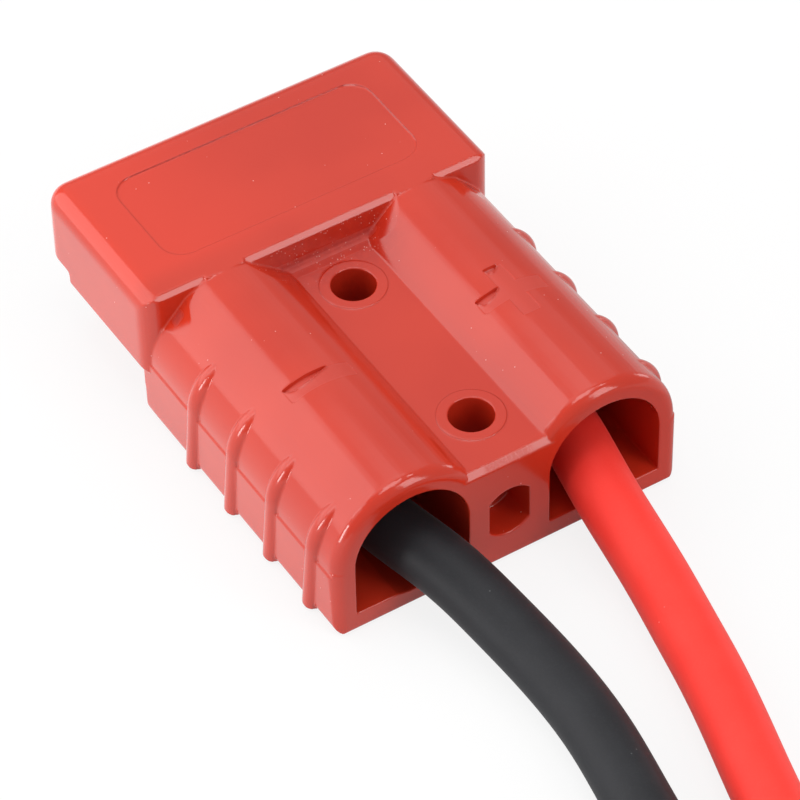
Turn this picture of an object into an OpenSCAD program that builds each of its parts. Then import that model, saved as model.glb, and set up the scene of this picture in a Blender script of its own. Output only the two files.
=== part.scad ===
// Two-pole battery quick connector with its pair of leads.
// Moulded housing with two cable barrels, silvered contacts on leaf springs,
// and red and black flexible leads that end in ring lugs.
// Frame: origin under the middle of the housing, +Y to the mating end, +X to the
// positive side, +Z up. Millimetres.

/* [Cables] */
// Outer diameter of each lead
cable_d = 5.8; // [5:0.1:6.6]
// Diameter of the bare stranded conductor
conductor_d = 4.2; // [3:0.1:4.6]

/* [Cable barrels] */
// Distance between the axes of the two barrels
barrel_spacing = 19.8; // [19:0.1:24]
// Diameter of the round roof inside a barrel
bore_d = 11.5; // [10.5:0.1:12]
// Wall over the bore
barrel_wall = 2; // [1.5:0.05:3]
// Height of the barrel axis
barrel_z = 7.6; // [7.4:0.1:8.4]
// Thickness of the floor under the cables
floor_t = 2.1; // [1.4:0.1:2.2]
// Length of the barrels, up to the head
tail_l = 30.6; // [30:0.1:36]
// Rounding of the rear rim
rim_r = 1.2; // [0.4:0.1:1.4]
// How far each side leans in towards the bottom
tail_draft = 0.1; // [0.05:0.05:0.6]
// Rounding of the long bottom edges
bottom_r = 1.3; // [0.6:0.1:2]

/* [Mating head] */
// Length of the head, ahead of the barrels
head_l = 18.7; // [17:0.1:24]
// How far the head stands out beside the barrels
head_proud = 0.55; // [0.05:0.05:1]
// Thickness of the head's roof
roof_t = 2.6; // [1.8:0.1:2.8]
// Thickness of the head's side walls
side_t = 2.1; // [1.6:0.1:2.6]
// Height of the parting plane, where the head's side walls end
parting_z = 6.2; // [5.8:0.1:6.6]
// Length of the raised lip at the front of the side walls
lip_l = 4; // [3:0.1:6]
// Rise of that lip over the parting plane
lip_rise = 1.2; // [0.6:0.1:2]
// Rounding of the top edges along the sides and the front
edge_r = 1.8; // [0.8:0.1:1.9]
// Rounding of the upright front corners
corner_r = 2.2; // [2:0.1:2.6]
// Bevel along the head's rear top edge
brow_bevel = 0.45; // [0.2:0.05:0.8]
// Thickness of the wall between the two contact chambers
divider_t = 2.6; // [1.8:0.1:3]
// Side clearance between this head and a mating one
mating_gap = 0.3; // [0.2:0.05:0.5]

/* [Label panel] */
// Width of the sunk panel on top of the head
panel_w = 26.6; // [20:0.1:28]
// Length of the panel
panel_l = 11.6; // [8:0.1:13]
// Distance of the panel from the head's front
panel_set = 3.6; // [2:0.1:4]
// Rounding of the panel's corners
panel_r = 2.3; // [1:0.1:3]
// Depth of the panel
panel_depth = 0.12; // [0.05:0.01:0.3]

/* [Plate between the barrels] */
// Height of the plate
plate_z = 12.5; // [11.5:0.1:13]
// Length of the bevel at its rear edge
plate_bevel_l = 0.5; // [0.3:0.05:1]
// Drop of that bevel
plate_bevel_h = 0.7; // [0.4:0.1:1.5]
// Length of the low ramp before the head
ramp_l = 1.2; // [0.8:0.1:1.4]
// Rise of that ramp
ramp_h = 0.4; // [0.2:0.05:0.5]
// How far the head's rear wall leans back above the ramp
wall_lean = 0.7; // [0.4:0.05:0.8]

/* [Mounting holes] */
// Diameter of the two mounting holes
hole_d = 4.1; // [3.2:0.1:4.3]
// Distance between them
hole_spacing = 19.2; // [17:0.1:20]
// Distance of the rear hole from the rear face
rear_hole = 6.1; // [5.8:0.1:7]
// Diameter of the low pad round each hole
pad_d = 6.1; // [5:0.1:6.6]
// Height of that pad
pad_h = 0.08; // [0.05:0.01:0.2]

/* [Rear slot] */
// Diameter of the round that the slot is cut from
slot_d = 5.4; // [4.6:0.1:6]
// Width between the slot's flat sides
slot_w = 4.1; // [3:0.1:4.4]
// Height of the slot's middle
slot_z = 5.9; // [5:0.1:6.2]
// Depth of the slot
slot_depth = 3.4; // [2:0.1:3.5]

/* [Grip ribs] */
// Ribs on each side
rib_count = 4; // [2:1:4]
// Distance from rib to rib
rib_pitch = 6.6; // [5:0.1:7]
// Distance of the first rib from the rear face
rib_first = 4.8; // [4.4:0.1:5.2]
// Width of a rib where it leaves the side
rib_w = 1.8; // [1.2:0.1:2.4]
// How far a rib leans towards the rear, in degrees
rib_lean = 7; // [0:0.5:9]
// How far a rib stands out
rib_h = 0.55; // [0.3:0.05:0.8]
// How far a rib's tip dives into the barrel
rib_dive = 2; // [1.3:0.1:2.4]

/* [Contacts] */
// Width of the contact blade
blade_w = 8.4; // [7:0.1:8.6]
// Thickness of the contact blade
blade_t = 1.6; // [1.2:0.1:1.8]
// Outer diameter of the crimp barrel
crimp_d = 6.8; // [6.2:0.1:7]
// Length of the crimp barrel
crimp_l = 13; // [11:0.1:14]
// Height of the crimp barrel's axis
crimp_z = 5.7; // [5.7:0.1:6.2]
// Distance of the crimp barrel from the rear face
crimp_set = 11.5; // [11.5:0.1:12.5]
// Outer radius of the hooked nose
nose_r = 2.2; // [1.9:0.1:2.4]
// How far the nose lies behind the head's front
nose_set = 1.2; // [0.6:0.1:2]

/* [Springs] */
// Width of the leaf spring
spring_w = 7.4; // [5:0.1:7.6]
// Thickness of the leaf spring
spring_t = 0.6; // [0.4:0.05:0.8]
// Height of the seat under the spring
seat_z = 2.6; // [2.2:0.1:2.8]

/* [Ring lugs] */
// Hole for the battery stud
stud_hole_d = 6.5; // [5.3:0.1:8.4]
// Width of the ring
ring_w = 12; // [11:0.1:12.4]
// Thickness of the flat palm
palm_t = 2; // [1.4:0.1:2.4]
// Outer diameter of the lug's barrel
lug_d = 6.2; // [5.8:0.1:6.8]
// Length of the lug's barrel
lug_barrel_l = 10.5; // [9:0.1:12]
// Distance from the cable's end to the ring's middle
lug_reach = 20; // [19:0.1:22]

/* [Heat-shrink sleeves] */
// Length of a sleeve
sleeve_l = 21; // [16:0.5:22]
// Wall of a sleeve
sleeve_t = 0.5; // [0.3:0.05:0.5]

/* [Cable tie] */
// Width of the strap
tie_w = 4.8; // [3:0.1:6]
// Thickness of the strap
tie_t = 1.1; // [0.8:0.1:1.4]

/* [Hidden] */

$fn = 64;
cut = 1;                // overrun of every cutting tool
slip = 0.15;            // clearance round a piece that slides into its seat
touch = 0.02;           // play between pieces that bear on each other
arc_steps = 8;          // straight steps in a small rounding

NEGATIVE = -1;          // side of the black lead
POSITIVE = 1;           // side of the red lead

barrel_x = barrel_spacing / 2;
barrel_r = bore_d / 2 + barrel_wall;
housing_h = barrel_z + barrel_r;
housing_l = tail_l + head_l;
tail_w = barrel_spacing + 2 * barrel_r;
head_w = tail_w + 2 * head_proud;
rear_y = -housing_l / 2;
front_y = housing_l / 2;
head_y = front_y - head_l;

skirt_l = 2.15;                             // lower body ahead of the head's rear wall
back_wall = 2.15;                           // wall behind the mating chamber
tail_front = head_y + skirt_l;
chamber_y = head_y + back_wall;
chamber_w = head_w - 2 * side_t;
roof_z = housing_h - roof_t;
tongue_z = parting_z - slip;                // top of the tongues that carry the contacts
tongue_x0 = divider_t / 2 + mating_gap;
tongue_x1 = chamber_w / 2 - mating_gap;
tongue_r = 2.4;                             // rounding of a tongue's outer bottom edge
ledge = 0.14;                               // step along the sides, where the lower body stands out
ledge_z = barrel_z - 0.5;
heel_r = 1.2;                               // rounding of the lower body's upright rear edges
sole_r = 0.5;                               // rounding of its rear bottom edge
nape_r = 1.8;                               // rounding of the head's upright rear edges
crown_w = 4;                                // width over which a barrel runs level into the head
flat_l = 2.8;                               // length of the flats on the barrels' flanks
inner_flat_lean = 34;                       // how far those flats lean from level
inner_flat_depth = 0.42;
outer_flat_lean = 46;
outer_flat_depth = 0.2;

crimp_y = rear_y + crimp_set;
bore_end = crimp_y + crimp_l + 2;           // front end of a cable bore
blade_z = parting_z - blade_t;              // underside of the contact blade
nose_y = front_y - nose_set;                // foremost point of a contact
hook_r = nose_r - blade_t;                  // inner radius of the hooked nose
hook_l = 0.6;                               // straight part of the hook
stop_front = nose_y - blade_t - slip;       // front of the stop that the nose hooks over
stop_t = 1.3;
stop_z = blade_z - hook_r - slip;
channel_w = blade_w + 2 * slip;

// Leads. Each point is [x, distance behind the rear face, height of the lead's middle].
run_z = cable_d / 2;                        // height where a lead lies on the surface
tied_z = run_z + tie_t + slip;              // height where a lead lies on the tie's strap
rise_z = (run_z + tied_z) / 2;              // height between those two
sleeve_bore = max(cable_d, lug_d) + 2 * touch;
end_z = sleeve_bore / 2 + sleeve_t;         // height of a lead's end in its sleeve
strip_y = 1.3 - crimp_set;                  // where a lead's insulation begins, inside the barrel
tie_back = 110;                             // place of the tie behind the rear face
tied_run_x = [-24.4, -16.8, -9.2, -1.6];    // the runs that the tie holds
negative_route = [
    [-barrel_x, strip_y, crimp_z], [-barrel_x, -7, crimp_z], [-9.1, -3, run_z + 2.55],
    [-8.1, 0.5, run_z + 2.2], [-7.2, 4, run_z + 1.55], [-6.5, 8, run_z + 0.8], [-6, 12, run_z + 0.25],
    [-5.8, 17, run_z], [-6.2, 23, run_z], [-7.2, 29, run_z], [-8.4, 36, run_z], [-9.1, 46, run_z],
    [-9.2, 58, run_z], [-9.2, 72, run_z], [-9.2, 85, run_z], [-9.2, 96, rise_z], [-9.2, 106, tied_z],
    [-9.2, 114, tied_z], [-6.9, 124, rise_z], [-1.9, 132.5, run_z], [3.3, 141, run_z], [5.8, 150, run_z],
    [3.3, 159.4, run_z], [-3.6, 166.3, run_z], [-13, 168.8, run_z], [-22.4, 166.3, run_z],
    [-29.3, 159.4, run_z], [-31.8, 150, run_z], [-29.3, 141, run_z], [-24.1, 132.5, run_z],
    [-19.1, 124, rise_z], [-16.8, 114, tied_z], [-16.8, 106, tied_z], [-17.2, 97, end_z],
    [-18, 86, end_z], [-18.8, 75, end_z], [-19.6, 64, end_z]];
positive_route = [
    [barrel_x, strip_y, crimp_z], [barrel_x, -7, crimp_z], [9.4, -3, run_z + 2.55],
    [8.8, 0.5, run_z + 2.2], [8.4, 4, run_z + 1.55], [8.05, 8, run_z + 0.8], [7.55, 12, run_z + 0.25],
    [6.6, 17, run_z], [5.3, 23, run_z], [3.7, 29, run_z], [1.7, 36, run_z], [-0.4, 46, run_z],
    [-1.4, 58, run_z], [-1.6, 72, run_z], [-1.6, 85, run_z], [-1.6, 96, rise_z], [-1.6, 106, tied_z],
    [-1.6, 114, tied_z], [0.7, 124, rise_z], [5.7, 132.5, run_z], [10.9, 141, run_z], [13.4, 150, run_z],
    [9.9, 163.2, run_z], [0.2, 172.9, run_z], [-13, 176.4, run_z], [-26.2, 172.9, run_z],
    [-35.9, 163.2, run_z], [-39.4, 150, run_z], [-36.9, 141, run_z], [-31.7, 132.5, run_z],
    [-26.7, 124, rise_z], [-24.4, 114, tied_z], [-24.4, 106, tied_z], [-24.9, 99, end_z],
    [-26.2, 92, end_z], [-27.6, 85, end_z]];
cable_sides = 12;

housing_red = [0.80, 0.12, 0.10];
lead_red = [0.95, 0.16, 0.13];
lead_black = [0.09, 0.09, 0.10];
silver = [0.82, 0.82, 0.80];
spring_steel = [0.62, 0.63, 0.65];
copper = [0.80, 0.48, 0.30];
tin = [0.76, 0.77, 0.78];
nylon = [0.07, 0.07, 0.07];

function unit(v) = v / norm(v);
function arc(middle, r, from, to, steps = arc_steps) =
    [for (i = [0:steps]) let (a = from + (to - from) * i / steps) middle + r * [cos(a), sin(a)]];

// A route's points in the part's own frame
function laid(route) = [for (p = route) [p.x, rear_y - p.y, p.z]];

// Direction of a lead at one of its points
function heading(path, i) = unit(path[min(i + 1, len(path) - 1)] - path[max(i - 1, 0)]);

// Ring of points square to a lead
function ring(path, i, r) =
    let (along = heading(path, i), side = unit(cross(along, [0, 0, 1])), up = cross(side, along))
    [for (k = [0:cable_sides - 1]) let (a = 360 * k / cable_sides)
        path[i] + r * (cos(a) * side + sin(a) * up)];

// Extrude an XZ outline from y0 to y1
module along_y(y0, y1) {
    translate([0, y1, 0]) rotate([90, 0, 0]) linear_extrude(y1 - y0) children();
}

// Extrude a YZ outline from x0 to x1
module along_x(x0, x1) {
    translate([x0, 0, 0]) rotate([90, 0, 90]) linear_extrude(x1 - x0) children();
}

// Turn an outline of [radius, length] about an axis that runs forward from a point
module turned_along_y(at) {
    translate(at) rotate([-90, 0, 0]) rotate_extrude() children();
}

// Swept tube of one lead
module lead(tint, route) {
    path = laid(route);
    n = cable_sides;
    last = len(path) - 1;
    rings = [for (i = [0:last]) each ring(path, i, cable_d / 2)];
    sides = [for (i = [0:last - 1], k = [0:n - 1])
        [i * n + k, i * n + (k + 1) % n, (i + 1) * n + (k + 1) % n, (i + 1) * n + k]];
    near_end = [for (k = [0:n - 1]) n - 1 - k];
    far_end = [for (k = [0:n - 1]) last * n + k];
    color(tint) polyhedron(rings, concat(sides, [near_end, far_end]), convexity = 6);
}

// Put children at the end of a lead, with +X the way it points
module at_end(route) {
    path = laid(route);
    last = len(path) - 1;
    along = heading(path, last);
    translate(path[last]) rotate([0, 0, atan2(along.y, along.x)]) children();
}

// Upper half of a barrel with its rounded rear rim and its two shallow flats at the head
module barrel_outside(side) {
    reach = tail_l + back_wall / 2;
    difference() {
        turned_along_y([side * barrel_x, rear_y, barrel_z])
            polygon(concat([[0, 0]], arc([barrel_r - rim_r, rim_r], rim_r, -90, 0),
                           [[barrel_r, reach], [0, reach]]));
        translate([-tail_w, rear_y - cut, -barrel_r])
            cube([2 * tail_w, reach + 2 * cut, barrel_z + barrel_r]);
        flank_flat(side, -side * inner_flat_lean, inner_flat_depth);
        flank_flat(side, side * outer_flat_lean, outer_flat_depth);
    }
}

// Shallow flat on a barrel's flank, deepest at the head and running out behind it
module flank_flat(side, lean, depth) {
    translate([side * barrel_x, head_y, barrel_z]) rotate([0, lean, 0])
        translate([0, 0, barrel_r - depth]) rotate([-atan(depth / flat_l), 0, 0])
            translate([-barrel_r / 2, -2 * flat_l, 0]) cube([barrel_r, 2 * flat_l + back_wall, barrel_r]);
}

// Lower body under the barrels, leaning in towards the bottom
module lower_body() {
    half_top = tail_w / 2 + ledge;
    half_bottom = half_top - tail_draft;
    intersection() {
        along_y(rear_y, tail_front)
            polygon(concat([[half_top, ledge_z], [tail_w / 2, ledge_z], [tail_w / 2, barrel_z],
                            [-tail_w / 2, barrel_z], [-tail_w / 2, ledge_z], [-half_top, ledge_z]],
                           arc([-half_bottom + bottom_r, bottom_r], bottom_r, 180, 270),
                           arc([half_bottom - bottom_r, bottom_r], bottom_r, 270, 360)));
        linear_extrude(barrel_z)
            polygon(concat([[half_top, tail_front], [-half_top, tail_front]],
                           arc([-half_top + heel_r, rear_y + heel_r], heel_r, 180, 270),
                           arc([half_top - heel_r, rear_y + heel_r], heel_r, 270, 360)));
        along_x(-half_top, half_top)
            polygon(concat([[tail_front, 0], [tail_front, barrel_z], [rear_y, barrel_z]],
                           arc([rear_y + sole_r, sole_r], sole_r, 180, 270)));
    }
}

// Plate between the barrels, bevelled at the rear and ramped up to the head's leaning rear wall
module plate() {
    wall_top = housing_h - brow_bevel - touch;
    along_x(-barrel_x, barrel_x)
        polygon([[rear_y, floor_t], [head_y + back_wall / 2, floor_t], [head_y + back_wall / 2, wall_top],
                 [head_y, wall_top], [head_y - wall_lean, plate_z + ramp_h],
                 [head_y - wall_lean - ramp_l, plate_z], [rear_y + plate_bevel_l, plate_z],
                 [rear_y, plate_z - plate_bevel_h]]);
}

// Solid head before its chamber is cut: top edges rounded along the sides and the front, which meet
// in turned corners, then trimmed to the rounded rear edges, the rear bevel and the lips
module head_block() {
    half = head_w / 2;
    corner_x = half - corner_r;
    corner_y = front_y - corner_r;
    lip_z = parting_z + lip_rise;
    lip_y = front_y - lip_l;
    intersection() {
        union() {
            along_y(head_y, corner_y)
                polygon(concat([[-half, parting_z], [half, parting_z]],
                               arc([half - edge_r, housing_h - edge_r], edge_r, 0, 90),
                               arc([-half + edge_r, housing_h - edge_r], edge_r, 90, 180)));
            along_x(-corner_x, corner_x)
                polygon(concat([[head_y, housing_h], [head_y, parting_z], [front_y, parting_z]],
                               arc([front_y - edge_r, housing_h - edge_r], edge_r, 0, 90)));
            for (side = [NEGATIVE, POSITIVE])
                translate([side * corner_x, corner_y, 0]) rotate_extrude()
                    polygon(concat([[0, parting_z], [corner_r, parting_z]],
                                   arc([corner_r - edge_r, housing_h - edge_r], edge_r, 0, 90),
                                   [[0, housing_h]]));
        }
        linear_extrude(housing_h + cut)
            polygon(concat(arc([-half + nape_r, head_y + nape_r], nape_r, 180, 270),
                           arc([half - nape_r, head_y + nape_r], nape_r, 270, 360),
                           [[half, front_y], [-half, front_y]]));
        along_x(-half, half)
            polygon(concat([[head_y, parting_z], [lip_y, parting_z], [lip_y, lip_z]],
                           arc([front_y - lip_rise, lip_z + lip_rise], lip_rise, -90, 0),
                           [[front_y, housing_h], [head_y + brow_bevel, housing_h],
                            [head_y, housing_h - brow_bevel]]));
    }
}

// Space inside the head that a mating head's tongues enter
module chamber() {
    half = chamber_w / 2;
    inner_r = edge_r / 2;
    along_y(chamber_y, front_y + cut)
        polygon(concat([[-half, parting_z - cut], [half, parting_z - cut]],
                       arc([half - inner_r, roof_z - inner_r], inner_r, 0, 90),
                       arc([-half + inner_r, roof_z - inner_r], inner_r, 90, 180)));
}

// Wall between the two contact chambers, hanging from the roof
module divider() {
    translate([-divider_t / 2, chamber_y - back_wall / 2, parting_z])
        cube([divider_t, front_y - edge_r - chamber_y + back_wall / 2, housing_h - roof_t / 2 - parting_z]);
}

// Tongue under one contact, with its outer bottom edge rounded
module tongue(side) {
    mirror([side == NEGATIVE ? 1 : 0, 0, 0])
        along_y(tail_front - cut, stop_front)
            polygon(concat([[tongue_x1, tongue_z], [tongue_x0, tongue_z], [tongue_x0, 0]],
                           arc([tongue_x1 - tongue_r, tongue_r], tongue_r, -90, 0)));
}

// Cable bore: flat floor, upright sides and a round roof
module cable_bore(side) {
    along_y(rear_y - cut, bore_end)
        translate([side * barrel_x, 0]) {
            translate([0, barrel_z]) circle(d = bore_d);
            translate([-bore_d / 2, floor_t]) square([bore_d, barrel_z - floor_t]);
        }
}

// Channel that holds one spring and its contact blade, open into the cable bore
module contact_channel(side) {
    translate([side * barrel_x - channel_w / 2, bore_end - cut, seat_z])
        cube([channel_w, stop_front - stop_t - bore_end + cut, parting_z + slip - seat_z]);
    translate([side * barrel_x - channel_w / 2, stop_front - stop_t - cut, stop_z])
        cube([channel_w, stop_t + 2 * cut, parting_z - stop_z]);
}

// Rounded grip rib: upright on the side, then curling into the barrel
module rib(side, back) {
    rib_r = (pow(rib_w / 2, 2) + pow(rib_h, 2)) / (2 * rib_h);
    curl_r = barrel_r - rib_r - rib_dive;
    rib_x = tail_w / 2 + rib_h - rib_r;
    rib_foot = 0.3;
    curl_z = barrel_z + 0.6;
    seam = 0.06;
    translate([0, rear_y + back, 0]) rotate([rib_lean, 0, 0])
        mirror([side == NEGATIVE ? 1 : 0, 0, 0]) {
            translate([rib_x, 0, rib_foot]) cylinder(r = rib_r - seam, h = curl_z - rib_foot + seam);
            translate([rib_x - curl_r, 0, curl_z]) rotate([90, 0, 0])
                rotate_extrude(angle = 90) translate([curl_r, 0]) circle(r = rib_r);
        }
}

// Sunk panel on top of the head
module label_panel() {
    half_w = panel_w / 2 - panel_r;
    half_l = panel_l / 2 - panel_r;
    translate([0, front_y - panel_set - panel_l / 2, housing_h - panel_depth])
        linear_extrude(panel_depth + cut)
            polygon(concat(arc([half_w, half_l], panel_r, 0, 90),
                           arc([-half_w, half_l], panel_r, 90, 180),
                           arc([-half_w, -half_l], panel_r, 180, 270),
                           arc([half_w, -half_l], panel_r, 270, 360)));
}

module mounting_holes() {
    for (back = [rear_hole, rear_hole + hole_spacing])
        translate([0, rear_y + back, -cut]) cylinder(d = hole_d, h = housing_h + cut);
}

module hole_pads() {
    for (back = [rear_hole, rear_hole + hole_spacing])
        translate([0, rear_y + back, floor_t]) cylinder(d = pad_d, h = plate_z + pad_h - floor_t);
}

module rear_slot() {
    along_y(rear_y - cut, rear_y + slot_depth)
        translate([0, slot_z]) intersection() {
            circle(d = slot_d);
            square([slot_w, slot_d + cut], center = true);
        }
}

module housing() {
    color(housing_red) difference() {
        union() {
            lower_body();
            plate();
            hole_pads();
            for (side = [NEGATIVE, POSITIVE]) {
                barrel_outside(side);
                tongue(side);
                for (i = [0:rib_count - 1]) rib(side, rib_first + i * rib_pitch);
            }
            difference() {
                head_block();
                chamber();
            }
            divider();
            for (side = [NEGATIVE, POSITIVE])
                translate([side * barrel_x - crown_w / 2, head_y, housing_h - 1])
                    cube([crown_w, back_wall, 1]);
        }
        for (side = [NEGATIVE, POSITIVE]) {
            cable_bore(side);
            contact_channel(side);
        }
        label_panel();
        mounting_holes();
        rear_slot();
    }
}

// Contact: crimp barrel, shouldered blade and a nose that hooks over the tongue's stop
module contact(side) {
    crimp_r = crimp_d / 2;
    bore_l = crimp_l - 2;
    shoulder_l = 3;
    sight_d = 1.6;
    blade_y = crimp_y + crimp_l - 2;
    color(silver) translate([side * barrel_x, 0, 0]) {
        difference() {
            translate([0, crimp_y, crimp_z]) rotate([-90, 0, 0]) cylinder(d = crimp_d, h = crimp_l);
            translate([0, crimp_y - cut, crimp_z]) rotate([-90, 0, 0])
                cylinder(d = conductor_d + 2 * slip, h = bore_l + cut);
            translate([0, crimp_y + bore_l - sight_d, crimp_z]) cylinder(d = sight_d, h = crimp_d);
        }
        translate([0, 0, blade_z]) linear_extrude(blade_t)
            polygon([[-crimp_r + slip, blade_y], [crimp_r - slip, blade_y],
                     [blade_w / 2, blade_y + shoulder_l], [blade_w / 2, nose_y - nose_r],
                     [-blade_w / 2, nose_y - nose_r], [-blade_w / 2, blade_y + shoulder_l]]);
        along_x(-blade_w / 2, blade_w / 2)
            polygon(concat(arc([nose_y - nose_r, parting_z - nose_r], nose_r, 90, 0),
                           [[nose_y, parting_z - nose_r - hook_l],
                            [nose_y - blade_t, parting_z - nose_r - hook_l]],
                           arc([nose_y - nose_r, parting_z - nose_r], hook_r, 0, 90)));
    }
}

// Bowed leaf spring between its seat and the contact blade
module spring(side) {
    seat_y0 = bore_end + 2;
    seat_y1 = stop_front - stop_t - slip;
    half = (seat_y1 - seat_y0) / 2;
    rise = blade_z - seat_z - spring_t - 2 * touch;
    bow_r = (half * half + rise * rise) / (2 * rise);
    bow_z = seat_z + touch + rise - bow_r;
    color(spring_steel) translate([side * barrel_x, 0, 0])
        along_x(-spring_w / 2, spring_w / 2)
            translate([(seat_y0 + seat_y1) / 2, 0]) intersection() {
                translate([0, bow_z]) difference() {
                    circle(r = bow_r + spring_t, $fn = 180);
                    circle(r = bow_r, $fn = 180);
                }
                translate([-half, seat_z]) square([2 * half, blade_z - seat_z]);
            }
}

// Stripped ends of one conductor: in the contact's crimp barrel and in the lug
module conductor(route) {
    start = laid(route)[0];
    contact_end = crimp_y + crimp_l - 2 - touch;
    lug_end = lug_barrel_l - 1.5;
    color(copper) {
        translate(start) rotate([-90, 0, 0]) cylinder(d = conductor_d, h = contact_end - start.y);
        at_end(route) rotate([0, 90, 0]) cylinder(d = conductor_d, h = lug_end);
    }
}

// Ring lug: barrel, flattened neck and a ring for the battery stud
module lug(route) {
    barrel_start = 0.5;
    neck_start = barrel_start + lug_barrel_l;
    palm_start = lug_reach - ring_w / 2 + 0.5;
    palm_z = -lug_d / 2;
    skin = 0.1;
    color(tin) at_end(route) difference() {
        union() {
            translate([barrel_start, 0, 0]) rotate([0, 90, 0]) cylinder(d = lug_d, h = lug_barrel_l);
            hull() {
                translate([neck_start - skin, 0, 0]) rotate([0, 90, 0])
                    cylinder(d = lug_d, h = skin, $fn = 32);
                translate([palm_start, -ring_w / 2, palm_z]) cube([skin, ring_w, palm_t]);
            }
            translate([palm_start, -ring_w / 2, palm_z]) cube([lug_reach - palm_start, ring_w, palm_t]);
            translate([lug_reach, 0, palm_z]) cylinder(d = ring_w, h = palm_t);
        }
        translate([barrel_start - cut, 0, 0]) rotate([0, 90, 0])
            cylinder(d = conductor_d + 2 * slip, h = lug_barrel_l - 1 + cut);
        translate([lug_reach, 0, palm_z - cut]) cylinder(d = stud_hole_d, h = palm_t + 2 * cut);
    }
}

// Shrunk sleeve over a lead's end and its lug's barrel
module sleeve(tint, route) {
    color(tint) at_end(route) translate([lug_barrel_l - sleeve_l, 0, 0]) rotate([0, 90, 0]) difference() {
        cylinder(d = sleeve_bore + 2 * sleeve_t, h = sleeve_l);
        translate([0, 0, -cut]) cylinder(d = sleeve_bore, h = sleeve_l + 2 * cut);
    }
}

// Outline of the tie's loop round the four runs, grown outwards
module tie_loop(grow) {
    r = cable_d / 2 + slip + grow;
    left = tied_run_x[0];
    right = tied_run_x[3];
    polygon(concat(arc([right, tied_z], r, -90, 90, 2 * arc_steps),
                   arc([left, tied_z], r, 90, 270, 2 * arc_steps)));
}

// Tie round the folded leads, with its locking head on top and its tail cut short in the head's window
module cable_tie() {
    lock_l = tie_w + 1.6;
    lock_w = 6.4;
    lock_h = 3.6;
    lock_r = 0.9;
    window = tie_t + 0.8;
    window_depth = 1.4;
    tail_out = 0.6;
    tie_y = rear_y - tie_back;
    tie_top = tied_z + cable_d / 2 + slip;
    color(nylon) {
        along_y(tie_y - tie_w / 2, tie_y + tie_w / 2) difference() {
            tie_loop(tie_t);
            tie_loop(0);
        }
        translate([tied_run_x[2], tie_y, tie_top + tie_t / 2]) {
            difference() {
                along_y(-lock_l / 2, lock_l / 2)
                    polygon(concat([[-lock_w / 2, 0], [lock_w / 2, 0]],
                                   arc([lock_w / 2 - lock_r, lock_h - lock_r], lock_r, 0, 90),
                                   arc([-lock_w / 2 + lock_r, lock_h - lock_r], lock_r, 90, 180)));
                translate([-window / 2, -tie_w / 2 - slip, lock_h - window_depth])
                    cube([window, tie_w + 2 * slip, window_depth + cut]);
            }
            translate([-tie_t / 2, -tie_w / 2, 0]) cube([tie_t, tie_w, lock_h + tail_out]);
        }
    }
}

housing();
contact(NEGATIVE);  // contact_negative
contact(POSITIVE);  // contact_positive
spring(NEGATIVE);  // spring_negative
spring(POSITIVE);  // spring_positive
conductor(negative_route);  // conductor_negative
conductor(positive_route);  // conductor_positive
lead(lead_black, negative_route);  // cable_negative
lead(lead_red, positive_route);  // cable_positive
lug(negative_route);  // lug_negative
lug(positive_route);  // lug_positive
sleeve(lead_black, negative_route);  // sleeve_negative
sleeve(lead_red, positive_route);  // sleeve_positive
cable_tie();
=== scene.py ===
"""Two-pole battery connector with its pair of leads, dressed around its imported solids.

The file is laid out as an add-on and run as a script. Millimetres are written with MM, so that
sizes read as they do on the object; everything in the scene is in metres.
"""

import math

import bmesh
import bpy
import numpy as np
from bpy.props import FloatProperty, FloatVectorProperty, IntProperty, PointerProperty
from mathutils import Euler, Matrix, Vector


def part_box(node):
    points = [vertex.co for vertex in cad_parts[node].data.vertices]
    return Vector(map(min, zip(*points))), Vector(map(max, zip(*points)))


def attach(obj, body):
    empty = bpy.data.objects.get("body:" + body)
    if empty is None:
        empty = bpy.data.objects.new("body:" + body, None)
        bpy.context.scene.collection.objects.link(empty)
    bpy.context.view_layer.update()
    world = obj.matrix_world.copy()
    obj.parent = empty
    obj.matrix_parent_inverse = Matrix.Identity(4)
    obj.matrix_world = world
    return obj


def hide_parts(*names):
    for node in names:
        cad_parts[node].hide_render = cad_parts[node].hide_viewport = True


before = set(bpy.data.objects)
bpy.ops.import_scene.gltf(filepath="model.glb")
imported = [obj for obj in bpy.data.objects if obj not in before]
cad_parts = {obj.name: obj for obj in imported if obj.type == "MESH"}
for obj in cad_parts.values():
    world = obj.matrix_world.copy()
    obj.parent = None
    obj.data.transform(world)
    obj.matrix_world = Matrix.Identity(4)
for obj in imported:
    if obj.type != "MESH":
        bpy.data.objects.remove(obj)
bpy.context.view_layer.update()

bl_info = {
    "name": "Battery connector with leads",
    "version": (1, 0, 0),
    "blender": (4, 5, 0),
    "location": "3D View > Sidebar > Connector",
    "description": "Moulded housing, silicone leads, lugs, tie and studio for the battery connector",
    "category": "Object",
}

MM = 0.001
BODY = "root"

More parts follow.
